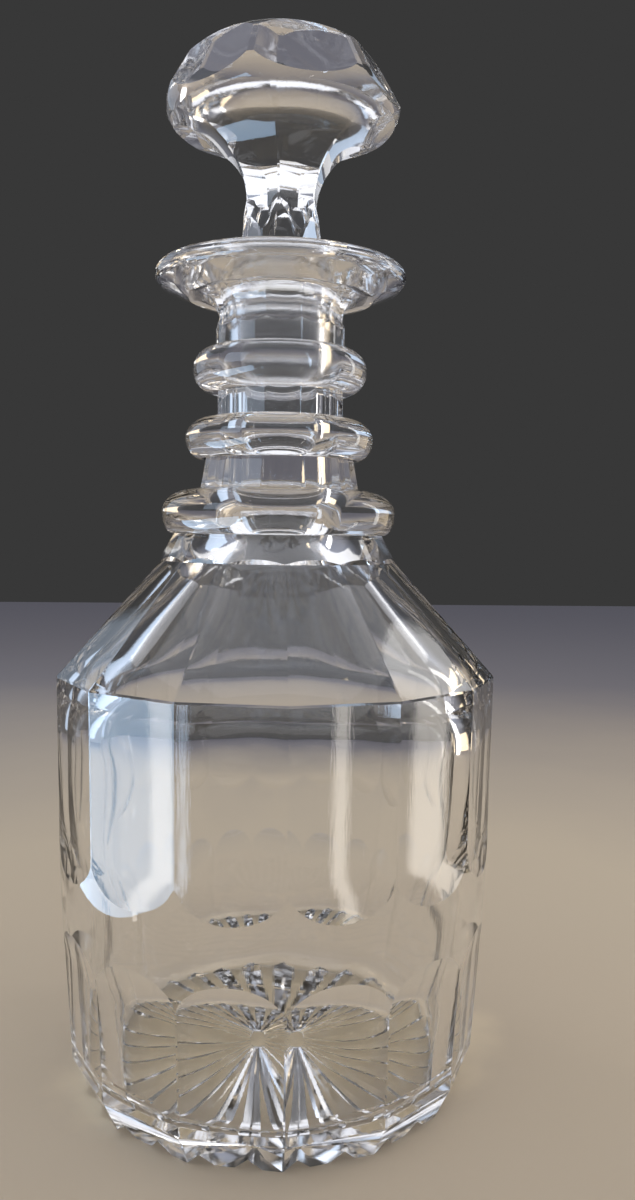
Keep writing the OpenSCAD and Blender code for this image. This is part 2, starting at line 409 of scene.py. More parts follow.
@dataclass
class Bottle:
    """The bottle: star-cut foot, fluted side and shoulder, panelled neck and flat lip."""

    flutes: int = 14
    star_rays: int = 28
    star_turn: float = 3.8
    star_depth: float = 3.0
    star_mid_depth: float = 0.9
    star_half_angle: float = 46.0
    shoulder_r: float = 55.25
    shoulder_z: float = 103.5
    heel_r: float = 51.75
    heel_z: float = 7.8
    foot_r: float = 47.95
    side_bulge: float = 0.9
    collar_low_r: float = 30.0
    collar_low_z: float = 131.5
    collar_r: float = 26.4
    ring_low_z: float = 138.3
    neck_low_z: float = 149.5
    neck_flare_r: float = 20.5
    ring_mid_z: float = 157.0
    neck_root_r: float = 19.1
    neck_mid_z: float = 167.4
    ring_top_z: float = 173.7
    neck_top_z: float = 184.5
    seat_r: float = 16.2
    panels: int = 12
    lip_z: float = 204.4
    lip_h: float = 9.9
    lip_r: float = 31.3
    lip_t: float = 4.6
    lip_flute_r: float = 5.5
    lip_flute_depth: float = 0.9
    lip_wheel_drop: float = 2.5
    lip_spread: float = 1.2
    rim_start: float = -70.0
    mouth_round: float = 0.5
    flute_low_z: float = 65.5
    panel_top_z: float = 33.0
    wheel_r: float = 31.0
    wheel_reach: float = 12.0
    lens_h: float = 2.4
    lens_in: float = 0.4
    dimple_r: float = 3.3
    dimple_rise: float = 0.25
    wall: float = 6.0
    floor_t: float = 7.0
    floor_rise: float = 0.4
    bore_r: float = 9.75
    socket_r: float = 10.68
    socket_z: float = 176.4
    corner: float = 5.0
    corner_level: float = 0.5
    inner_turn: float = 12.0
    bore_root: float = 9.0
    bore_up: float = 2.0
    blown: float = 0.2
    bite: float = 0.06
    soft: float = 0.05
    step: float = 360 / 336
    beside_flute: float = 0.24
    beside_panel: float = 0.42

    def __post_init__(self) -> None:
        """Sets out the columns, with close pairs beside each arris."""
        turn = np.arange(336) * self.step
        by_flute = np.arange(self.flutes) * 360 / self.flutes
        by_panel = (np.arange(self.panels) + 0.5) * 360 / self.panels
        extra = np.concatenate([by_flute - self.beside_flute, by_flute + self.beside_flute,
                                by_panel - self.beside_panel, by_panel + self.beside_panel])
        self.turn = np.unique(np.round(np.concatenate([turn, extra % 360]), 6))
        self.d14 = offset_from(self.turn, self.flutes, 180 / self.flutes)
        self.d12 = offset_from(self.turn, self.panels, 0)

    def side(self, z: Array) -> Array:
        """Radius of the round blank up the side."""
        t = (z - self.heel_z) / (self.shoulder_z - self.heel_z)
        return self.heel_r + (self.shoulder_r - self.heel_r) * t + 4 * self.side_bulge * t * (1 - t)

    def over(self, flat: Array, off: Array, count: int) -> Array:
        """Radius over a flat, with its arrises very slightly rounded.

        Args:
            flat: Distance of the flat from the axis.
            off: How far each column is from the flat's middle, in radians.
            count: Number of flats round the axis.

        Returns:
            The radius of each column.
        """
        return np.minimum(flat / np.cos(off), flat / math.cos(math.pi / count) - self.soft)

    def flat_at(self, r: float, count: int) -> float:
        """Middle distance of a flat between arrises that just miss a blank of radius r."""
        return r * math.cos(math.pi / count) - self.bite

    def upper_cut(self, z: Array) -> Array:
        """Finds the upper flutes' floor.

        Args:
            z: Height of each column.

        Returns:
            Its distance from the axis.
        """
        low = self.flat_at(float(self.side(np.array(self.flute_low_z))), self.flutes)
        edge, top = self.flat_at(self.shoulder_r, self.flutes), self.flat_at(self.collar_low_r, self.flutes)
        below = np.clip(self.flute_low_z - z, 0, self.wheel_r * 0.9)
        foot = low + self.wheel_r - np.sqrt(self.wheel_r**2 - below**2)
        up = np.interp(z, [self.flute_low_z, self.shoulder_z, self.collar_low_z,
                           self.collar_low_z + self.lens_h],
                       [low, edge, top, top + self.lens_in])
        return np.where(z < self.flute_low_z, foot, up)

    def lower_cut(self, z: Array) -> Array:
        """Finds the lower panels' floor.

        Args:
            z: Height of each column.

        Returns:
            Its distance from the axis.
        """
        high = self.flat_at(float(self.side(np.array(self.panel_top_z))), self.flutes)
        heel, foot = self.flat_at(self.heel_r, self.flutes), self.flat_at(self.foot_r, self.flutes)
        above = np.clip(z - self.panel_top_z, 0, self.wheel_r * 0.9)
        head = high + self.wheel_r - np.sqrt(self.wheel_r**2 - above**2)
        down = np.interp(z, [0, self.heel_z, self.panel_top_z], [foot, heel, high])
        return np.where(z > self.panel_top_z, head, down)

    def star(self, r: Array, turn: Array) -> Array:
        """Height of the star's surface under the foot.

        Args:
            r: Radius of each point.
            turn: Turn of each point in degrees.

        Returns:
            The height, 0 on the lands between the rays.
        """
        off = offset_from(turn, self.star_rays, self.star_turn)
        deep = self.star_mid_depth + (self.star_depth - self.star_mid_depth) * r / self.foot_r
        return np.maximum(deep - np.abs(r * np.sin(off)) / math.tan(math.radians(self.star_half_angle)), 0)

    def star_columns(self, r: Array) -> Array:
        """Turns of the columns where they follow the rays' edges and valleys.

        Args:
            r: Radius of each column.

        Returns:
            The turns in degrees.
        """
        ray = 360 / self.star_rays
        deep = self.star_mid_depth + (self.star_depth - self.star_mid_depth) * r / self.foot_r
        half = np.degrees(np.arcsin(np.clip(deep * math.tan(math.radians(self.star_half_angle)) / r, 0, 1)))
        half = np.minimum(half, ray / 2 - 0.05)
        a = self.star_turn
        flute = 360 / self.flutes
        base = np.floor(self.turn / flute + 1e-6) * flute
        u = self.turn - base
        keys = np.array([0, 4, 7, 12, 16, 19, 24]) * self.step
        goals = np.stack([a - half, a + 0 * half, a + half, a + ray - half, a + ray + 0 * half,
                          a + ray + half, a + 2 * ray - half], 1)
        place = np.clip(np.searchsorted(keys, u + 1e-6, side="right") - 1, 0, 5)
        j = np.arange(len(u))
        t = (u - keys[place]) / (keys[place + 1] - keys[place])
        return base + goals[j, place] + t * (goals[j, place + 1] - goals[j, place])

    def foot(self, skin: Skin) -> None:
        """Adds the star under the foot and the bevel up to the heel line.

        Args:
            skin: The bottle's skin, still empty.
        """
        dimple_z = self.star_mid_depth + self.dimple_rise
        skin.row(0, dimple_z)
        skin.row(self.dimple_r * 0.5, dimple_z)
        start = np.full(len(self.turn), self.dimple_r)
        columns = self.star_columns(start)
        skin.row(start, dimple_z, turn=columns)
        rim_turn = self.star_columns(np.full(len(self.turn), self.foot_r + 0.6))
        off = offset_from(rim_turn, self.flutes, 180 / self.flutes)

        def drawn_in(z: Array) -> Array:
            """Middle distance of a bevel's flat at a height."""
            return np.interp(z, [0, self.heel_z], [self.flat_at(self.foot_r, self.flutes),
                                                   self.flat_at(self.heel_r, self.flutes)])

        def bevel(z: Array) -> Array:
            """Radius of the bevel at a height, for the columns at the rim."""
            return self.over(drawn_in(z), off, self.flutes)

        rim_z = crossing(lambda z: self.star(bevel(z), rim_turn) - z,
                         np.full(len(self.turn), -0.2), np.full(len(self.turn), 6.0))
        rim_z = np.maximum(rim_z, 0)
        rim_r = bevel(rim_z)
        steps = 40
        for i in range(steps + 1):
            r = start + (rim_r - start) * i / steps
            columns = rim_turn if i == steps else self.star_columns(r)
            skin.row(r, rim_z if i == steps else self.star(r, columns), turn=columns)
        rise = 8
        for i in range(1, rise + 1):
            t = i / rise
            z = rim_z + (self.heel_z - 0.2 - rim_z) * t
            turn = rim_turn + (self.turn - rim_turn) * t
            here = offset_from(turn, self.flutes, 180 / self.flutes)
            skin.row(self.over(drawn_in(z), here, self.flutes), z, turn=turn)

    def flank(self, skin: Skin) -> None:
        """Adds the side and shoulder: lower panels, plain band, upper flutes and collar.

        Args:
            skin: The bottle's skin up to the heel line.
        """
        ones = np.ones(len(self.turn))
        flutes, off = self.flutes, self.d14

        def panels(z: Array) -> Array:
            """Radius over the lower panels, as if they had no end."""
            return self.over(self.lower_cut(z), off, flutes)

        def slope(z: Array) -> Array:
            """Radius over the upper flutes, as if they had no end."""
            return self.over(self.upper_cut(z), off, flutes)

        def lower(z: Array) -> Array:
            """Radius of the side where the lower panels are cut into it."""
            return np.minimum(panels(z), self.side(z))

        def upper(z: Array) -> Array:
            """Radius of the side where the upper flutes are cut into it."""
            return np.minimum(slope(z), self.side(z))

        def cone(z: Array) -> Array:
            """Radius of the collar."""
            return np.interp(z, [self.collar_low_z, self.ring_low_z], [self.collar_low_r, self.collar_r])

        heel, edge = (self.heel_z + 0.2) * ones, (self.shoulder_z - 0.25) * ones
        skin.row(lower(heel), heel)
        skin.band(heel, self.panel_top_z * ones, 14, lower)
        head = crossing(lambda z: panels(z) - self.side(z),
                        self.panel_top_z * ones, (self.panel_top_z + self.wheel_reach) * ones)
        skin.band(self.panel_top_z * ones, head, 12, lower)
        foot = crossing(lambda z: slope(z) - self.side(z),
                        self.flute_low_z * ones, (self.flute_low_z - self.wheel_reach) * ones)
        skin.band(head, foot, 14, self.side)
        skin.band(foot, self.flute_low_z * ones, 12, upper)
        skin.band(self.flute_low_z * ones, edge, 20, upper)
        rise = (self.shoulder_z + 0.25) * ones
        skin.row(slope(rise), rise)
        skin.band(rise, self.collar_low_z * ones, 24, slope)
        lens = crossing(lambda z: slope(z) - cone(z), self.collar_low_z * ones,
                        (self.collar_low_z + self.lens_h) * ones)
        skin.band(self.collar_low_z * ones, lens, 3, slope)
        skin.band(lens, self.ring_low_z * ones, 6, cone)

    def neck(self, skin: Skin) -> None:
        """Adds the neck with its hidden seats under the rings and its flat panels between them.

        Args:
            skin: The bottle's skin up to the lower ring.
        """
        ones = np.ones(len(self.turn))

        def panel(low: float, high: float, z0: float, z1: float, steps: int) -> None:
            """Adds the flat panels between two rings.

            Args:
                low: Radius of the blank at the panels' lower end.
                high: Radius of the blank at their upper end.
                z0: Height of their lower end.
                z1: Height of their upper end.
                steps: Number of steps.
            """
            for i in range(steps + 1):
                t = i / steps
                flat = self.flat_at(low + (high - low) * t, self.panels)
                skin.row(self.over(flat * ones, self.d12, self.panels), z0 + (z1 - z0) * t)

        skin.row(self.neck_flare_r, self.ring_low_z, Kind.JOINED)
        skin.row(self.neck_flare_r, self.neck_low_z, Kind.JOINED)
        panel(self.neck_flare_r, self.neck_root_r, self.neck_low_z, self.ring_mid_z, 8)
        skin.row(self.seat_r, self.ring_mid_z, Kind.JOINED)
        skin.row(self.seat_r, self.neck_mid_z, Kind.JOINED)
        panel(self.seat_r, self.seat_r, self.neck_mid_z, self.ring_top_z, 6)
        skin.row(self.seat_r, self.ring_top_z)
        skin.row(self.seat_r, self.neck_top_z, Kind.JOINED)

    def lip(self, skin: Skin) -> None:
        """Adds the hollow flutes under the lip, the lip, its flat top and the mouth.

        Args:
            skin: The bottle's skin up to the top of the upper ring.
        """
        ones = np.ones(len(self.turn))
        x0 = self.seat_r - self.lip_flute_depth + self.lip_flute_r
        z0 = self.lip_z - self.lip_h - self.lip_wheel_drop
        rim = self.lip_t / 2
        low = np.array([self.seat_r + self.lip_spread, self.lip_z - self.lip_h])
        rim_arc = arc((self.lip_r - rim, self.lip_z - rim), rim, self.rim_start, 90, 18)
        slope = (rim_arc[0, 1] - low[1]) / (rim_arc[0, 0] - low[0])

        def wheel(w: Array) -> tuple[Array, Array]:
            """Radius and height of the flutes at angles round the wheel's spindle."""
            return (self.over(x0 + self.lip_flute_r * np.cos(w), self.d12, self.panels),
                    z0 + self.lip_flute_r * np.sin(w))

        first = crossing(lambda w: wheel(w)[0] - self.seat_r, np.radians(180) * ones, np.radians(260) * ones)
        last = crossing(lambda w: wheel(w)[1] - (low[1] + slope * (wheel(w)[0] - low[0])),
                        np.radians(140) * ones, np.radians(20) * ones)
        foot_z = wheel(first)[1]
        plain, hollow, under = 3, 26, 7
        for i in range(1, plain + 1):
            skin.row(self.seat_r, self.neck_top_z + (foot_z - self.neck_top_z) * i / plain)
        for i in range(1, hollow + 1):
            r, z = wheel(first + (last - first) * i / hollow)
            skin.row(r, z)
        for i in range(1, under + 1):
            skin.row(r + (rim_arc[0, 0] - r) * i / under, z + (rim_arc[0, 1] - z) * i / under)
        skin.line(rim_arc[1:])
        mouth = self.mouth_round
        top = np.linspace(self.lip_r - rim, self.socket_r + mouth, 10)[1:]
        skin.line(np.stack([top, np.full(len(top), self.lip_z)], 1))
        skin.line(arc((self.socket_r + mouth, self.lip_z - mouth), mouth, 90, 180, 5)[1:])

    def hollow(self, skin: Skin) -> None:
        """Adds the ground socket, the bore, the inside wall and the floor.

        Args:
            skin: The bottle's skin up to the mouth.
        """
        ripples = ((1.0, 2, 4.1, 0), (0.7, 3, -5.3, 40), (0.5, 5, 9.7, 110), (0.25, 11, -14.0, 200))

        def uneven(points: Array, amount: float) -> None:
            """Adds rows of blown glass, which is never quite round.

            Args:
                points: Points of a line in the radial plane.
                amount: Height of the longest ripple.
            """
            for r, z in points:
                wave = sum(size * np.sin(np.radians(waves * self.turn + climb * z + start))
                           for size, waves, climb, start in ripples)
                skin.row(r + amount * wave * min(r / self.bore_r - 1, 1), z)

        socket = np.linspace(0, 1, 15)[:, None]
        skin.line(np.array([self.socket_r, self.lip_z - self.mouth_round]) * (1 - socket)
                  + np.array([self.bore_r, self.socket_z]) * socket, Kind.GROUND)
        shoulder_in = np.array([1, 1]) * self.wall * math.sin(math.radians(45))
        corner, turn, root = self.corner, self.inner_turn, self.bore_root
        floor_edge = np.array([float(self.side(np.array(self.floor_t))) - self.wall, self.floor_t])
        shoulder = np.array([self.shoulder_r, self.shoulder_z]) - shoulder_in
        neck_root = np.array([self.bore_r, self.ring_low_z + self.bore_up])
        foot_z = self.floor_t + corner
        wall_foot = np.array([float(self.side(np.array(foot_z))) - self.wall, foot_z])
        down = np.linspace(self.socket_z, neck_root[1] + root, 9)
        skin.line(np.stack([np.full(len(down), self.bore_r), down], 1)[1:])
        root_bend = bend(neck_root + [0, root], neck_root, toward(neck_root, shoulder, root), 12)
        uneven(root_bend[1:], self.blown / 4)
        a, b = toward(neck_root, shoulder, root), toward(shoulder, neck_root, turn)
        uneven(a + (b - a) * np.linspace(0, 1, 22)[1:, None], self.blown)
        c = toward(shoulder, wall_foot, turn)
        uneven(bend(b, shoulder, c, 18)[1:], self.blown)
        uneven(c + (wall_foot - c) * np.linspace(0, 1, 40)[1:, None], self.blown)
        inner = floor_edge[0] - corner + self.corner_level
        uneven(bend(wall_foot, floor_edge, np.array([inner, self.floor_t]), 18)[1:], self.blown * 0.4)
        s = np.linspace(1, 0, 22)[1:] * inner
        skin.line(np.stack([s, self.floor_t + self.floor_rise * (1 - (s / inner) ** 2)], 1))

    def build(self) -> bpy.types.Object:
        """Makes the bottle's piece.

        Returns:
            The bottle, closed from the star's middle to the middle of its floor.
        """
        skin = Skin(self.turn)
        self.foot(skin)
        self.flank(skin)
        self.neck(skin)
        self.lip(skin)
        self.hollow(skin)
        return skin.mesh("bottle", 5)

    def dress(self, piece: bpy.types.Object, finishes: dict[Kind, bpy.types.Material]) -> None:
        """Gives the piece its finishes and its place on the decanter.

        Args:
            piece: The bottle.
            finishes: One material for each kind of band.
        """
        for kind in Kind:
            piece.data.materials.append(finishes[kind])
        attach(piece, "decanter")
        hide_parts("bottle_body")


# ---------------------------------------------------------------- rings


class Ring(Enum):
    """The three rings, with the CAD node that each one stands for."""

    LOWER = "neck_ring_lower"
    MIDDLE = "neck_ring_middle"
    UPPER = "neck_ring_upper"


@dataclass
class NeckRing:
    """One ring fused round the neck."""

    ring: Ring
    seat: float
    low_r: float
    out_r: float
    z: float
    thick: float
    fillet: float = 0.5
    columns: int = 240
    rows: int = 40

    def build(self) -> bpy.types.Object:
        """Makes the ring's piece.

        Returns:
            The closed ring, whose inner face and foot are joined to the neck.
        """
        ledge = max(self.low_r, self.seat)
        foot = ledge + self.fillet
        skin = Skin(np.arange(self.columns) * 360 / self.columns)
        middle = self.z + self.thick / 2
        skin.row(self.seat, self.z)
        skin.row(ledge, self.z, Kind.JOINED)
        skin.row(foot, self.z)
        for i in range(1, self.rows):
            w = math.radians(-90 + 180 * i / self.rows)
            root = foot if w < 0 else self.seat + self.fillet
            skin.row(root + (self.out_r - root) * math.cos(w), middle + self.thick / 2 * math.sin(w))
        skin.row(self.seat + self.fillet, self.z + self.thick)
        skin.row(self.seat, self.z + self.thick)
        skin.row(self.seat, self.z, Kind.JOINED)
        return skin.mesh(f"{self.ring.value}_glass", 20)

    def dress(self, piece: bpy.types.Object, finishes: dict[Kind, bpy.types.Material]) -> None:
        """Gives the ring its finishes and its place on the decanter.

        Args:
            piece: The ring.
            finishes: One material for each kind of band.
        """
        for kind in (Kind.POLISHED, Kind.JOINED):
            piece.data.materials.append(finishes[kind])
        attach(piece, "decanter")
        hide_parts(self.ring.value)


# ---------------------------------------------------------------- stopper


@dataclass
class Stopper:
    """The mushroom stopper: ground plug, six-sided shank, fluted underside and faceted crown."""

    turned: float = -3.0
    plug_end_z: float = 176.4
    plug_end_r: float = 9.67
    plug_r: float = 10.6
    plug_edge: float = 0.8
    plug_middle: float = 4.0
    lip_z: float = 204.4
    step_h: float = 0.6
    step_round: float = 0.4
    shank_r: float = 9.8
    shank_z: float = 206.2
    flat_z: float = 206.8
    flat_land: float = 0.1
    run_start: float = 4.5
    run: float = 4 / 6
    shank_top_z: float = 222.6
    head_r: float = 29.0
    girdle_z: float = 243.4
    crown_h: float = 16.6
    shank_cuts: int = 6
    crown_cuts: int = 7
    crown_slope: float = 28.0
    crown_depth: float = 2.9
    sweep_r: float = 20.0
    sweep_drop: float = 3.0
    sweep_depth: float = 1.5
    sweep_turn: float = 25.0
    crown_turn: float = 11.0
    flare_r: float = 11.5
    flare_end: float = 120.0
    girdle_round: float = 6.0
    girdle_start: float = -58.0
    eye_z: float = 238.0
    soft: float = 1.6
    column: float = 1.1
    nothing: float = 1e3
    sliver: float = 1e-6

    def __post_init__(self) -> None:
        """Sets out the columns, with three on each arris."""
        self.sweep_mid = self.turned + self.sweep_turn
        self.crown_mid = self.turned + self.crown_turn
        self.flat_r = self.shank_r * math.cos(math.pi / self.shank_cuts) + self.flat_land
        arrises = np.concatenate([
            middle + (np.arange(count) + 0.5) * 360 / count
            for count, middle in ((self.shank_cuts, self.turned), (self.shank_cuts, self.sweep_mid),
                                  (self.crown_cuts, self.crown_mid))]) % 360
        marks = np.concatenate([arrises, arrises - self.soft, arrises + self.soft]) % 360
        marks = np.unique(np.round(marks, 6))
        turns: list[float] = []
        for a, b in zip(marks, np.append(marks[1:], marks[0] + 360)):
            count = max(int(math.ceil((b - a) / self.column)), 1)
            turns.extend(a + (b - a) * i / count for i in range(count))
        self.turn = np.array(turns)

    def lean(self, count: int, middle: float) -> Array:
        """Share of its radius at which each column meets a cut's plane, kept short of the sharp arris.

        Args:
            count: Number of cuts round the axis.
            middle: Turn of one cut's middle.

        Returns:
            The cosine for each column.
        """
        return np.maximum(np.cos(offset_from(self.turn, count, middle)),
                          math.cos(math.pi / count - math.radians(self.soft)))

    def blank(self) -> Array:
        """Draws the round blank above the lip.

        Returns:
            Points of its outline, from the shank's foot to the top of the crown.
        """
        few, round_steps, crown_steps = 20, 30, 90
        low = arc((self.shank_r + self.flare_r, self.shank_top_z), self.flare_r,
                  180, self.flare_end, round_steps)
        side = arc((self.head_r - self.girdle_round, self.girdle_z), self.girdle_round,
                   self.girdle_start, 0, round_steps)
        w = np.radians(np.linspace(0, 90, crown_steps))[1:]
        crown = np.stack([self.head_r * np.cos(w), self.girdle_z + self.crown_h * np.sin(w)], 1)
        up = np.linspace(self.shank_z, self.shank_top_z, few)[:-1]
        shank = np.stack([np.full(few - 1, self.shank_r), up], 1)
        joint = low[-1] + (side[0] - low[-1]) * np.linspace(0, 1, few)[1:-1, None]
        return np.concatenate([shank, low, joint, side, crown])

    def reaches(self, way: Array) -> Array:
        """How far the glass reaches from the eye in each direction, for each cut on its own.

        Args:
            way: Angles from straight down, one row for each direction and one column for each turn.

        Returns:
            Four layers: blank, shank flats, sweeps under the head, crown facets.
        """
        outline = self.blank()
        bearing = np.arctan2(outline[:, 0], self.eye_z - outline[:, 1])
        length = np.hypot(outline[:, 0], self.eye_z - outline[:, 1])
        s, c = np.sin(way), np.cos(way)
        blank = np.interp(way, bearing, length)
        flat_cos = self.lean(self.shank_cuts, self.turned)
        head_z = self.shank_top_z - self.run_start
        across = np.maximum(s * flat_cos, self.sliver)
        leaning = np.maximum(s * flat_cos + self.run * c, self.sliver)
        shank = np.maximum(self.flat_r / across, (self.flat_r + (self.eye_z - head_z) * self.run) / leaning)
        well_above = math.radians(70)
        shank = np.where(way > well_above, self.nothing, shank)
        sweep_cos = self.lean(self.shank_cuts, self.sweep_mid)
        x0, z0 = self.shank_r - self.sweep_depth + self.sweep_r, self.shank_top_z - self.sweep_drop
        dx, dz = s * sweep_cos, -c
        a = dx**2 + dz**2
        b = dx * x0 + dz * (z0 - self.eye_z)
        left = b**2 - a * (x0**2 + (z0 - self.eye_z) ** 2 - self.sweep_r**2)
        sweep = np.where((left > 0) & (b > 0), (b - np.sqrt(np.maximum(left, 0))) / a, self.nothing)
        crown_cos = self.lean(self.crown_cuts, self.crown_mid)
        cc, cs = math.cos(math.radians(self.crown_slope)), math.sin(math.radians(self.crown_slope))
        reach = math.hypot(self.head_r * cc, self.crown_h * cs) - self.crown_depth
        lift = s * crown_cos * cc - c * cs
        crown = np.where(lift > self.sliver, (reach - (self.eye_z - self.girdle_z) * cs)
                         / np.maximum(lift, self.sliver), self.nothing)
        return np.stack([blank, shank, sweep, crown])

    def build(self) -> bpy.types.Object:
        """Makes the stopper's piece.

        Returns:
            The closed stopper, with rows that follow the edges of its cuts.
        """
        skin = Skin(self.turn)
        edge_r = self.plug_end_r - self.plug_edge
        skin.row(0, self.plug_end_z)
        skin.line(np.array([[self.plug_middle, self.plug_end_z], [edge_r, self.plug_end_z]]))
        side = np.linspace(0, 1, 16)[:, None]
        skin.line(np.array([self.plug_end_r, self.plug_end_z + self.plug_edge]) * (1 - side)
                  + np.array([self.plug_r, self.lip_z]) * side, Kind.GROUND)
        step_z = self.lip_z + self.step_h
        skin.line(np.array([[self.plug_r, step_z]]))
        skin.line(arc((self.plug_r - self.step_round, step_z), self.step_round, 0, 60, 3)[1:])
        skin.line(np.array([[self.shank_r, self.shank_z], [self.shank_r, self.flat_z]]))
        n = len(self.turn)
        foot_r = np.minimum(self.flat_r / self.lean(self.shank_cuts, self.turned), self.shank_r)
        start = np.arctan2(foot_r, self.eye_z - self.flat_z)
        fine = np.linspace(0, 1, 3001)[:, None]
        way = start + (math.pi - start) * fine
        reach = self.reaches(way)
        who = np.argmin(reach, 0)
        order = [1, 0, 2, 0, 3, 0]
        marks = [start]
        last_shank = np.where((who == 1).any(0), len(fine) - 1 - np.argmax((who == 1)[::-1], 0), 0)
        spans = {1: last_shank}
        for cut in (2, 3):
            hit = (who == cut)
            spans[cut * 10] = np.where(hit.any(0), np.argmax(hit, 0), -1)
            spans[cut * 10 + 1] = np.where(hit.any(0), len(fine) - 1 - np.argmax(hit[::-1], 0), -1)
        j = np.arange(n)

        def edge(step: Array, before: int, after: int) -> Array:
            """Sharpens the place where one cut takes over from another.

            Args:
                step: Fine step after which each column changes over.
                before: Layer of the cut below.
                after: Layer of the cut above.

            Returns:
                The angle of the change for each column.
            """
            i = np.clip(step, 0, len(fine) - 2)
            gap0 = reach[before, i, j] - reach[after, i, j]
            gap1 = reach[before, i + 1, j] - reach[after, i + 1, j]
            share = np.where(np.abs(gap0 - gap1) > 1e-9, gap0 / np.where(gap0 == gap1, 1, gap0 - gap1), 0.5)
            return way[i, j] + (way[i + 1, j] - way[i, j]) * np.clip(share, 0, 1)

        straight = spans[20] <= spans[1] + 1
        marks.append(np.where(straight, edge(spans[1], 1, 2), edge(spans[1], 1, 0)))
        marks.append(np.where(straight, marks[1], edge(spans[20] - 1, 0, 2)))
        marks.append(edge(spans[21], 2, 0))
        marks.append(edge(spans[30] - 1, 0, 3))
        marks.append(edge(spans[31], 3, 0))
        marks.append(np.full(n, math.pi))
        steps = [22, 4, 44, 26, 26, 22]
        for k, cut in enumerate(order):
            low, high = marks[k], np.maximum(marks[k + 1], marks[k])
            for i in range(0 if k == 0 else 1, steps[k] + 1):
                here = low + (high - low) * i / steps[k]
                t = self.reaches(here[None, :])[cut, 0]
                skin.row(t * np.sin(here), self.eye_z - t * np.cos(here))
        return skin.mesh("stopper_glass_piece", 6)

    def dress(self, piece: bpy.types.Object, finishes: dict[Kind, bpy.types.Material]) -> None:
        """Gives the stopper its finishes and its place on its own body.

        Args:
            piece: The stopper.
            finishes: One material for each kind of band.
        """
        for kind in Kind:
            piece.data.materials.append(finishes[kind])
        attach(piece, "stopper")
        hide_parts("stopper")


# ---------------------------------------------------------------- studio


class Seen(Enum):
    """What a lamp is for: everything, only its reflection in the glass, or the light on the floor."""

    ALL = "all"
    MIRRORED = "mirrored"
    FLOOR = "floor"


@dataclass(frozen=True)
class SoftBox:
    """One soft studio lamp that points at the decanter."""

    name: str
    place: tuple[float, float, float]
    aim: tuple[float, float, float]
    size: tuple[float, float]
    power: float
    colour: tuple[float, float, float]
    seen: Seen = Seen.ALL

    def build(self) -> bpy.types.Object:
        """Hangs the lamp.

        Returns:
            The lamp, which shows in the glass but not in the view itself.
        """
        lamp = bpy.data.lights.new(self.name, "AREA")
        lamp.shape = "RECTANGLE"
        lamp.size, lamp.size_y = self.size
        lamp.energy = self.power
        lamp.color = self.colour
        box = bpy.data.objects.new(self.name, lamp)
        box.location = self.place
        way = Vector(self.aim) - Vector(self.place)
        box.rotation_euler = way.to_track_quat("-Z", "Y").to_euler()
        box.visible_camera = False
        box.visible_diffuse = self.seen is not Seen.MIRRORED
        box.visible_glossy = self.seen is not Seen.FLOOR
        box.visible_transmission = self.seen is not Seen.MIRRORED
        bpy.context.collection.objects.link(box)
        return box


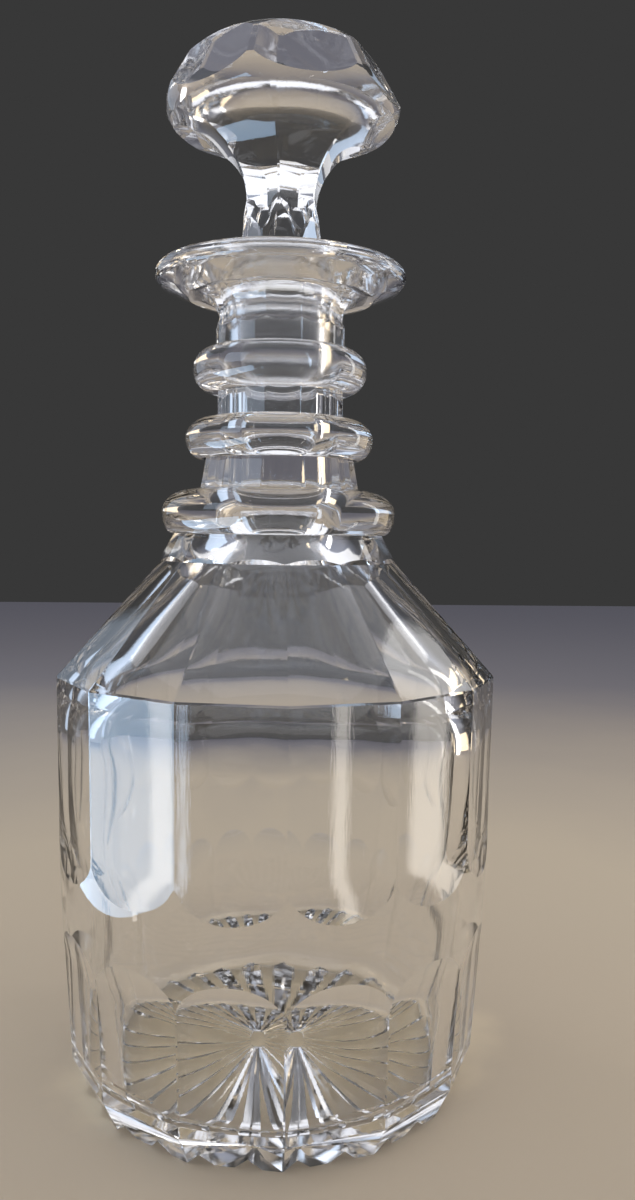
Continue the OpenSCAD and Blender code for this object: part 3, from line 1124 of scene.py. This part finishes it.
@dataclass
class Studio:
    """Floor, surrounding light, lamps and camera."""

    floor_half: float = 1.6
    # Painted light on the floor: a bright warm pool under the foot stands in for light let through the
    # glass, then darker tones further out.
    floor_painted_light_tones: tuple[tuple[float, tuple[float, float, float]], ...] = (
        (0.085, (0.95, 0.78, 0.52)), (0.115, (0.57, 0.47, 0.345)),
        (0.25, (0.56, 0.47, 0.345)), (0.75, (0.27, 0.25, 0.25)))
    floor_drop: float = 0.0002
    walls: tuple[float, float, float] = (0.215, 0.215, 0.24)
    ceiling: tuple[float, float, float] = (0.40, 0.44, 0.56)
    backdrop: tuple[float, float, float] = (0.0395, 0.0395, 0.0395)
    ceiling_starts: float = 0.35
    ceiling_full: float = 0.85
    backdrop_starts: float = 0.55
    backdrop_full: float = 0.76
    backdrop_way: tuple[float, float, float] = (0.05, 0.99, 0.0)
    camera_reach: float = 0.255
    camera_z: float = 0.1397
    camera_turn: float = -2.9
    yaw: float = 2.30
    pitch: float = -4.06
    roll: float = 0.80
    lens: float = 29.83

    def floor(self) -> None:
        """Lays the pale floor, with its painted pool of light under the decanter."""
        h = self.floor_half
        mesh = bpy.data.meshes.new("studio_floor")
        mesh.from_pydata([(-h, -h, 0), (h, -h, 0), (h, h, 0), (-h, h, 0)], [], [(0, 1, 2, 3)])
        plane = bpy.data.objects.new("studio_floor", mesh)
        plane.location = (0, 0, -self.floor_drop)
        bpy.context.collection.objects.link(plane)
        plane.data.materials.append(MattFloor("pale_floor_painted_light_pool", self.floor_painted_light_tones).make())

    def surround(self) -> None:
        """Gives the room its dim light: darker behind the decanter, lighter round and above it."""
        world = bpy.data.worlds.new("room")
        bpy.context.scene.world = world
        world.use_nodes = True
        nodes, links = world.node_tree.nodes, world.node_tree.links
        sky = nodes["Background"]
        place = nodes.new("ShaderNodeTexCoord")
        ahead = nodes.new("ShaderNodeVectorMath")
        ahead.operation = "DOT_PRODUCT"
        ahead.inputs[1].default_value = self.backdrop_way
        height = nodes.new("ShaderNodeSeparateXYZ")
        rise = nodes.new("ShaderNodeValToRGB")
        low, high = rise.color_ramp.elements
        low.position, low.color = self.ceiling_starts, (*self.walls, 1)
        high.position, high.color = self.ceiling_full, (*self.ceiling, 1)
        spread = nodes.new("ShaderNodeMapRange")
        spread.inputs["From Min"].default_value = self.backdrop_starts
        spread.inputs["From Max"].default_value = self.backdrop_full
        back = nodes.new("ShaderNodeMix")
        back.data_type = "RGBA"
        back.inputs["B"].default_value = (*self.backdrop, 1)
        links.new(place.outputs["Generated"], ahead.inputs[0])
        links.new(place.outputs["Generated"], height.inputs["Vector"])
        links.new(height.outputs["Z"], rise.inputs["Fac"])
        links.new(ahead.outputs["Value"], spread.inputs["Value"])
        links.new(spread.outputs["Result"], back.inputs["Factor"])
        links.new(rise.outputs["Color"], back.inputs["A"])
        links.new(back.outputs["Result"], sky.inputs["Color"])

    def lamps(self) -> None:
        """Hangs the soft lamps."""
        sky, cool, white = (0.50, 0.72, 1.0), (0.62, 0.78, 1.0), (1.0, 0.98, 0.95)
        cream, warm = (1.0, 0.94, 0.86), (1.0, 0.80, 0.52)
        for box in (
            SoftBox("window_left", (-0.15, -0.06, 0.052), (0, -0.04, 0.052), (0.22, 0.10), 0.43,
                    sky, Seen.MIRRORED),
            SoftBox("window_high_left", (-0.40, -0.20, 0.32), (0, 0, 0.2), (0.25, 0.3), 0.6,
                    cool, Seen.MIRRORED),
            SoftBox("window_back_left", (-0.55, 0.45, 0.35), (0, 0, 0.15), (0.35, 0.5), 0.45, cool),
            SoftBox("overhead", (0, -0.02, 0.75), (0, 0, 0), (1.4, 1.4), 4.6, white, Seen.FLOOR),
            SoftBox("slit_left", (-0.138, -0.065, 0.05), (-0.028, -0.047, 0.05), (0.007, 0.09), 0.008,
                    cream, Seen.MIRRORED),
            SoftBox("slit_front_left", (-0.085, -0.167, 0.05), (-0.020, -0.051, 0.05), (0.003, 0.09), 0.005,
                    cool, Seen.MIRRORED),
            SoftBox("slit_front_right", (0.081, -0.162, 0.05), (0.014, -0.053, 0.05), (0.005, 0.09), 0.008,
                    cream, Seen.MIRRORED),
            SoftBox("slit_right", (0.164, -0.045, 0.05), (0.034, -0.042, 0.05), (0.012, 0.09), 0.014,
                    cream, Seen.MIRRORED),
            SoftBox("strip_right", (0.42, 0.12, 0.22), (0, 0, 0.12), (0.05, 0.45), 0.25, white),
            SoftBox("warm_right", (0.6, 0.35, 0.12), (0, 0, 0.08), (0.3, 0.25), 0.35, warm),
            SoftBox("slit_high_right", (0.22, -0.33, 0.30), (0, 0, 0.23), (0.02, 0.30), 0.11,
                    cool, Seen.MIRRORED),
            SoftBox("front_strip", (0.30, -0.42, 0.12), (0, 0, 0.10), (0.03, 0.30), 0.25,
                    cool, Seen.MIRRORED),
            SoftBox("bulb_left", (-0.30, 0.35, 0.55), (0, 0, 0.1), (0.035, 0.035), 0.07, warm),
            SoftBox("bulb_right", (0.30, -0.10, 0.60), (0, 0, 0.1), (0.035, 0.035), 0.07, warm),
        ):
            box.build()

    def camera(self) -> None:
        """Sets the camera up at the table's edge."""
        t = math.radians(self.camera_turn)
        ahead = Vector((-math.sin(t), math.cos(t), 0))
        side = Vector((math.cos(t), math.sin(t), 0))
        yaw, pitch, roll = map(math.radians, (self.yaw, self.pitch, self.roll))
        level = ahead * math.cos(yaw) + side * math.sin(yaw)
        forward = level * math.cos(pitch) + Vector((0, 0, math.sin(pitch)))
        right = side * math.cos(yaw) - ahead * math.sin(yaw)
        up = right.cross(forward)
        right, up = (right * math.cos(roll) + up * math.sin(roll),
                     up * math.cos(roll) - right * math.sin(roll))
        lens = bpy.data.cameras.new("table_camera")
        lens.lens = self.lens
        lens.sensor_width = 36
        lens.clip_start = 0.01
        eye = bpy.data.objects.new("table_camera", lens)
        turn = Matrix((right, up, -forward)).transposed().to_4x4()
        place = Vector((0, 0, self.camera_z)) - ahead * self.camera_reach
        eye.matrix_world = Matrix.Translation(place) @ turn
        bpy.context.collection.objects.link(eye)
        bpy.context.scene.camera = eye

    def light_paths(self) -> None:
        """Lets light through as many glass surfaces as the decanter has."""
        scene = bpy.context.scene
        scene.cycles.max_bounces = 28
        scene.cycles.transmission_bounces = 28
        scene.cycles.glossy_bounces = 10
        scene.cycles.diffuse_bounces = 3
        scene.cycles.transparent_max_bounces = 32
        scene.cycles.caustics_refractive = True
        scene.cycles.caustics_reflective = True
        scene.cycles.blur_glossy = 0.3
        scene.cycles.sample_clamp_indirect = 6
        scene.view_settings.view_transform = "Standard"

    def build(self) -> None:
        """Sets the whole studio up."""
        self.floor()
        self.surround()
        self.lamps()
        self.camera()
        self.light_paths()


def main() -> None:
    """Builds the decanter's pieces in order and sets them in the studio."""
    logging.basicConfig(level=logging.INFO, format="%(name)s: %(message)s")
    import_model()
    joint = FusedJoint("fused_joint").make()
    ground = GroundCrystal("ground_crystal").make()
    bottle_glass = {Kind.POLISHED: CutCrystal("bottle_crystal").make(),
                    Kind.JOINED: joint, Kind.GROUND: ground}
    ring_glass = {Kind.POLISHED: CutCrystal("ring_crystal", mark_stretch=1.0).make(), Kind.JOINED: joint}
    stopper_glass = {Kind.POLISHED: CutCrystal("stopper_crystal").make(),
                     Kind.JOINED: joint, Kind.GROUND: ground}
    bottle = Bottle()
    rings = (
        NeckRing(Ring.LOWER, bottle.neck_flare_r, bottle.collar_r, 29.5, bottle.ring_low_z, 11.2),
        NeckRing(Ring.MIDDLE, bottle.seat_r, bottle.neck_root_r, 23.7, bottle.ring_mid_z, 10.4),
        NeckRing(Ring.UPPER, bottle.seat_r, bottle.seat_r, 21.9, bottle.ring_top_z, 10.8),
    )
    for maker, finishes in ((bottle, bottle_glass), *((ring, ring_glass) for ring in rings),
                            (Stopper(), stopper_glass)):
        piece = maker.build()
        maker.dress(piece, finishes)
        LOG.info("%s: %d faces", piece.name, len(piece.data.polygons))
    Studio().build()


if __name__ == "__main__":
    main()
